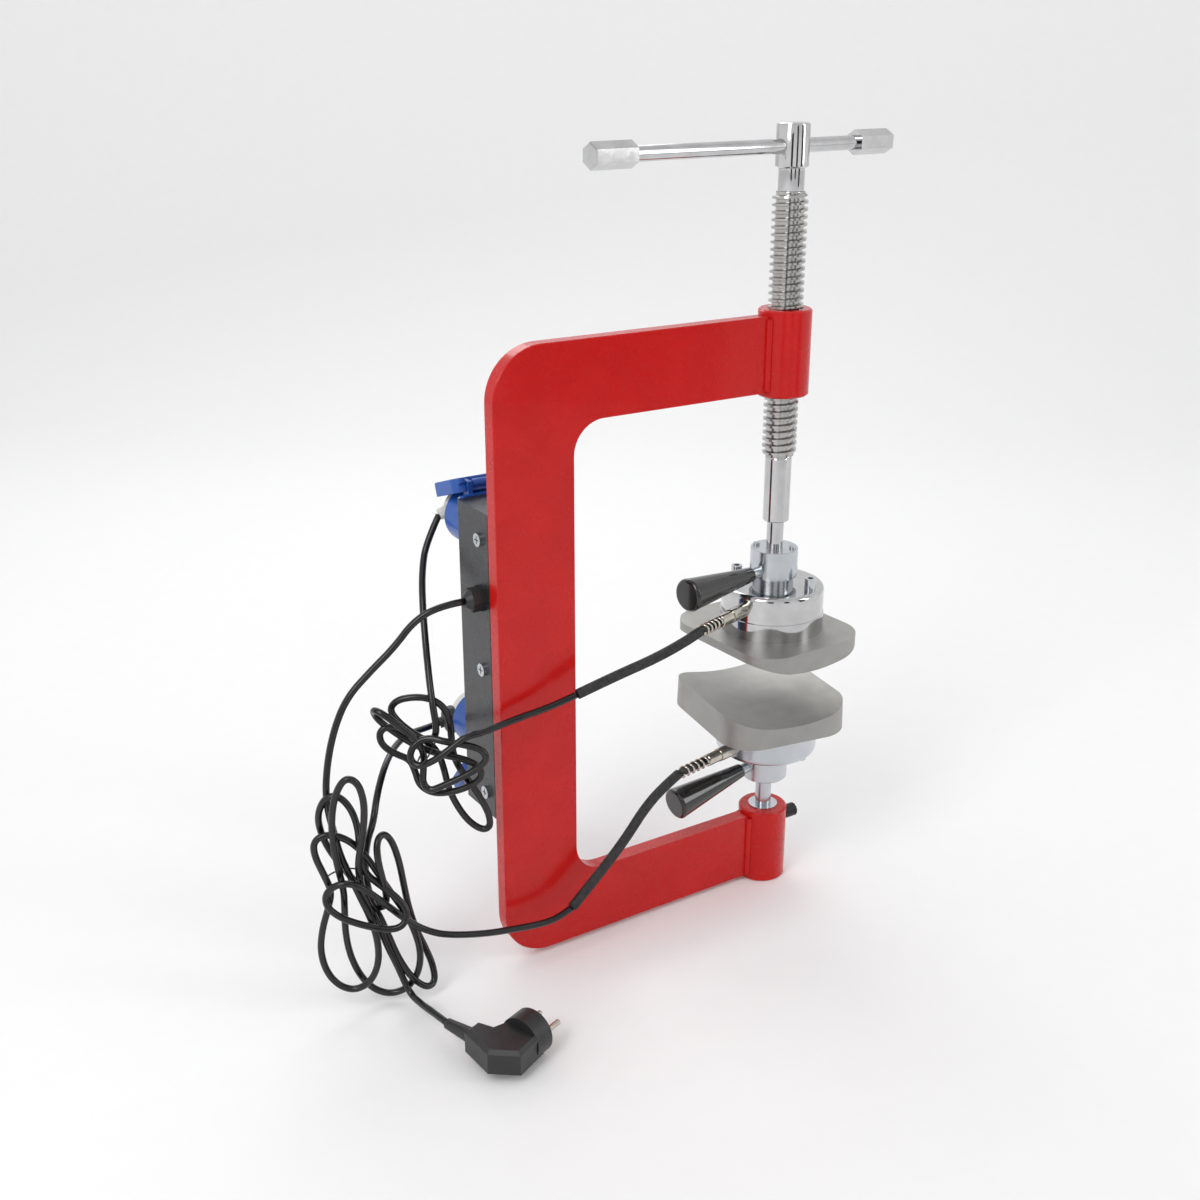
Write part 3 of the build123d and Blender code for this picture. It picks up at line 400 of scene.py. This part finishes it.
NODE_MATERIALS = (
    (red, "c_frame_plate upper_boss lower_boss weld_beads"),
    (chrome, "t_bar t_bar_caps upper_housing spindle_collar upper_base_ring"),
    (turned, "spindle"),
    (zinc, "upper_hub upper_hub_cap lower_hub lower_cup lower_stem lower_bush upper_heater_screws "
           "lower_heater_screws box_fasteners lid_hinge_pins upper_handle_stud lower_handle_stud"),
    (satin, "upper_plate lower_plate"),
    (nickel, "upper_lead_inlet upper_lead_barrel lower_lead_inlet lower_lead_barrel plug_pins "
             "upper_lead_spring lower_lead_spring"),
    (steel, "thrust_ball"), (brass, "clamp_pad"), (black_oxide, "clamp_screw"),
    (bakelite, "upper_handle_grip lower_handle_grip"),
    (heat_tint, "upper_heating_element lower_heating_element"),
    (box_paint, "box_back box_cover"),
    (black_plastic, "gland_body gland_nut mains_plug lower_heater_plug_back hank_ties"),
    (blue, "panel_sockets upper_socket_lid lower_socket_lid"),
    (ivory, "upper_heater_plug lower_heater_plug"),
    (pvc, "upper_heater_cord upper_cord_hank upper_plug_cord lower_heater_cord lower_cord_bundle "
          "lower_plug_cord mains_cord mains_plug_cord"),
    (braid, "upper_heater_sleeve lower_heater_sleeve"))
for mat, names in NODE_MATERIALS:
    give(mat, names.split())
for obj, mat, slot in ((upper_cord, pvc, "cable_pvc"), (lower_cord, pvc, "cable_pvc"),
                       (mains_cord, pvc, "cable_pvc"), (upper_sleeve, braid, "braided_sleeve"),
                       (lower_sleeve, braid, "braided_sleeve")):
    obj.data.materials.append(mat)


# ---------------------------------------------------------------- spindle with its real thread
def lathe(name, profile, sides):
    """A turned solid about Z from (radius, height) pairs in millimetres."""
    verts = []
    for r, z in profile:
        for k in range(sides):
            a = math.tau * k / sides
            verts.append((r * math.cos(a) * MM, r * math.sin(a) * MM, z * MM))
    return mesh_object(name, verts, ring_faces(len(profile), sides))


def sharpen(obj, angle=35.0):
    """Smooth shading with sharp edges kept sharp."""
    mesh = obj.data
    work = bmesh.new()
    work.from_mesh(mesh)
    work.normal_update()
    for edge in work.edges:
        if len(edge.link_faces) == 2 and edge.calc_face_angle(0) > math.radians(angle):
            edge.smooth = False
    work.to_mesh(mesh)
    work.free()
    return obj


PITCH, CREST_R, ROOT_R = 6.0, 15.0, 11.9
THREAD_Z0, THREAD_Z1 = 420.0, 643.9
RUN_OUT = 3.0
# the trapezoidal profile's corners, as (share of a pitch, radius)
THREAD_PROFILE = ((0.0, CREST_R), (0.30, CREST_R), (0.46, ROOT_R), (0.84, ROOT_R))


def thread_mesh(name):
    """One helical band that repeats the profile and fades out at both ends of the thread."""
    sides, corners = 48, len(THREAD_PROFILE)
    verts, faces = [], []
    turns = int((THREAD_Z1 - THREAD_Z0) / PITCH) + 2
    rows = turns * corners
    for i in range(rows):
        share, profile_r = THREAD_PROFILE[i % corners]
        for k in range(sides + 1):
            a = math.tau * k / sides
            z = THREAD_Z0 - PITCH + (i // corners + share + k / sides) * PITCH
            clamped = min(max(z, THREAD_Z0), THREAD_Z1)
            fade = min(1.0, (THREAD_Z1 - clamped) / RUN_OUT, (clamped - THREAD_Z0) / RUN_OUT)
            r = ROOT_R + (profile_r - ROOT_R) * max(fade, 0.0)
            verts.append((r * math.cos(a) * MM, r * math.sin(a) * MM, clamped * MM))
    for i in range(rows - 1):
        for k in range(sides):
            p = i * (sides + 1) + k
            faces.append((p, p + 1, p + sides + 2, p + sides + 1))
    obj = mesh_object(name, verts, faces)
    work = bmesh.new()
    work.from_mesh(obj.data)
    bmesh.ops.remove_doubles(work, verts=work.verts, dist=1e-6)
    bmesh.ops.dissolve_degenerate(work, edges=work.edges, dist=1e-7)
    bmesh.ops.recalc_face_normals(work, faces=work.faces)
    work.to_mesh(obj.data)
    work.free()
    return sharpen(obj, 25)


spindle_thread = thread_mesh("spindle_thread")
spindle_body = sharpen(lathe("spindle_body", (
    (7.1, 322.3), (7.5, 322.7), (7.5, 360.2), (11.0, 361.0), (11.7, 361.8), (11.7, 418.5), (11.0, 419.4),
    (10.9, 420.0), (10.9, 643.9), (10.6, 644.4), (10.9, 645.2), (10.9, 662.6), (13.2, 663.6), (13.9, 664.4),
    (13.9, 696.2), (13.2, 697.6), (11.9, 698.2)), 72))
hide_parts("spindle")
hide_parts("spindle")
for obj, mat in ((spindle_thread, turned), (spindle_body, chrome)):
    obj.data.materials.append(mat)
    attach(obj, "spindle")


# ---------------------------------------------------------------- lead springs
def spring(name, angle, radius, end, height, body, node):
    """Five coils of round wire round the lead, and the lead's black core inside."""
    a = math.radians(angle)
    along = Vector((math.cos(a), math.sin(a), 0.0))
    side = Vector((-math.sin(a), math.cos(a), 0.0))
    up = Vector((0.0, 0.0, 1.0))
    coils, wire_r, mean_r, core_r = 5, 1.15 * MM, 4.25 * MM, 3.4 * MM
    inset = 1.2
    line = []
    steps = coils * 24
    for i in range(steps + 1):
        t = i / steps
        turn = math.tau * coils * t
        centre = along * (radius + inset + (end - radius - 2 * inset) * t) * MM + up * height * MM
        line.append(centre + side * math.cos(turn) * mean_r + up * math.sin(turn) * mean_r)
    coil = tube(name + "_coil", line, wire_r, 8)
    core_line = [along * (r * MM) + up * height * MM for r in (radius - 1, (radius + end) / 2, end - 0.2)]
    core = tube(name + "_core", core_line, core_r, 16)
    for obj, mat, slot in ((coil, nickel, "nickel"), (core, black_plastic, "braided_sleeve")):
        obj.data.materials.append(mat)
        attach(obj, body)
        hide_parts(node)


spring("upper_lead", UP_ANGLE, 83.0, 112.0, 288.0, "upper_heater", "upper_lead_spring")
spring("lower_lead", LOW_ANGLE, 83.0, 118.0, 149.0, "lower_heater", "lower_lead_spring")


# ---------------------------------------------------------------- hank ties
def tie(name, across, height, depth, half_across, half_depth, tilt):
    """A thin wire loop round the bundle."""
    centre = Vector(hank_point(across, height, depth))
    wide = (ACROSS * math.cos(tilt) + Vector((0, 0, math.sin(tilt)))) * half_across * MM
    deep = AWAY * half_depth * MM
    steps, wire_r = 36, 0.7 * MM
    line = [centre + wide * math.cos(math.tau * k / steps) + deep * math.sin(math.tau * k / steps)
            for k in range(steps + 1)]
    loop = tube(name, line, wire_r, 8)
    loop.data.materials.append(black_plastic)
    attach(loop, "root")
    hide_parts("hank_ties")


tie("upper_hank_tie", -299, 217, -175, 12.5, 16.5, 0.9)
tie("lower_hank_tie", -366, 123, -213, 15.5, 14.0, 0.15)


# ---------------------------------------------------------------- floor and light
# The floor runs level behind the part and then bends up into a backdrop.
BEND_Y, BEND_R, BACKDROP_TOP, FLOOR_FRONT, HALF_WIDTH = 1.6, 1.5, 6.0, -5.0, 7.0

floor_material, floor_shader = material("pale_floor", (0.93, 0.93, 0.93), 0.0, 0.8)
grain = noise(floor_material, coordinates(floor_material), 40.0, 4.0)
floor_color = mix_colors(floor_material, grain, (0.92, 0.92, 0.92), (0.94, 0.94, 0.94))
floor_material.node_tree.links.new(floor_color, floor_shader.inputs["Base Color"])
sweep = [(FLOOR_FRONT, 0.0), (BEND_Y, 0.0)]
for degrees in range(6, 91, 6):
    a = math.radians(degrees)
    sweep.append((BEND_Y + BEND_R * math.sin(a), BEND_R - BEND_R * math.cos(a)))
sweep.append((BEND_Y + BEND_R, BACKDROP_TOP))
edges = [AWAY * y + ACROSS * x + Vector((0, 0, z)) for y, z in sweep for x in (-HALF_WIDTH, HALF_WIDTH)]
strips = [(2 * i, 2 * i + 1, 2 * i + 3, 2 * i + 2) for i in range(len(sweep) - 1)]
floor = mesh_object("floor", edges, strips)
floor.data.materials.append(floor_material)

world = bpy.data.worlds.new("studio")
world.use_nodes = True
sky = world.node_tree
direction = sky.nodes.new("ShaderNodeTexCoord")
split = sky.nodes.new("ShaderNodeSeparateXYZ")
ramp = sky.nodes.new("ShaderNodeValToRGB")
ramp.color_ramp.elements[0].position = 0.02
ramp.color_ramp.elements[0].color = (1.0, 1.0, 1.0, 1.0)
ramp.color_ramp.elements[1].position = 0.75
ramp.color_ramp.elements[1].color = (0.72, 0.72, 0.73, 1.0)
sky.links.new(direction.outputs["Generated"], split.inputs["Vector"])
sky.links.new(split.outputs["Z"], ramp.inputs["Fac"])
sky.links.new(ramp.outputs["Color"], sky.nodes["Background"].inputs["Color"])
sky.nodes["Background"].inputs["Strength"].default_value = 1.0
bpy.context.scene.world = world
bpy.context.scene.view_settings.view_transform = "Standard"


def softbox(name, place, aim, size, energy):
    """A rectangular area light that faces a point."""
    light = bpy.data.lights.new(name, "AREA")
    light.shape = "RECTANGLE"
    light.size, light.size_y = size
    light.energy = energy
    obj = link(bpy.data.objects.new(name, light))
    obj.location = place
    obj.rotation_euler = (Vector(aim) - Vector(place)).to_track_quat("-Z", "Y").to_euler()


softbox("key", (-1.7, -0.7, 1.8), (-0.1, 0, 0.3), (0.7, 1.4), 15)
softbox("fill", (1.3, -1.5, 1.2), (-0.1, 0, 0.3), (0.5, 1.4), 7)
softbox("rim", (0.4, 1.6, 1.6), (-0.1, 0, 0.3), (1.4, 0.6), 8)


def dark_card(name, corners):
    """A matt black board beside the set, for the dark streaks in the plated parts."""
    card = mesh_object(name, corners, [(0, 1, 2, 3)], smooth=False)
    card.data.materials.append(card_material)
    card.visible_camera = False


card_material, card_shader = material("black_card", (0.015, 0.015, 0.015), 0.0, 0.9)
card_grain = spread(card_material, noise(card_material, coordinates(card_material), 30.0), 0.85, 0.95)
card_material.node_tree.links.new(card_grain, card_shader.inputs["Roughness"])
dark_card("card_left", [(-1.9, -1.7, 0.0), (-1.35, -1.9, 0.0), (-1.35, -1.9, 1.5), (-1.9, -1.7, 1.5)])
dark_card("card_right", [(0.75, -1.9, 0.0), (1.15, -1.6, 0.0), (1.15, -1.6, 1.6), (0.75, -1.9, 1.6)])
dark_card("card_middle", [(-0.50, -2.3, 0.1), (-0.05, -2.4, 0.1), (-0.05, -2.4, 1.7), (-0.50, -2.3, 1.7)])
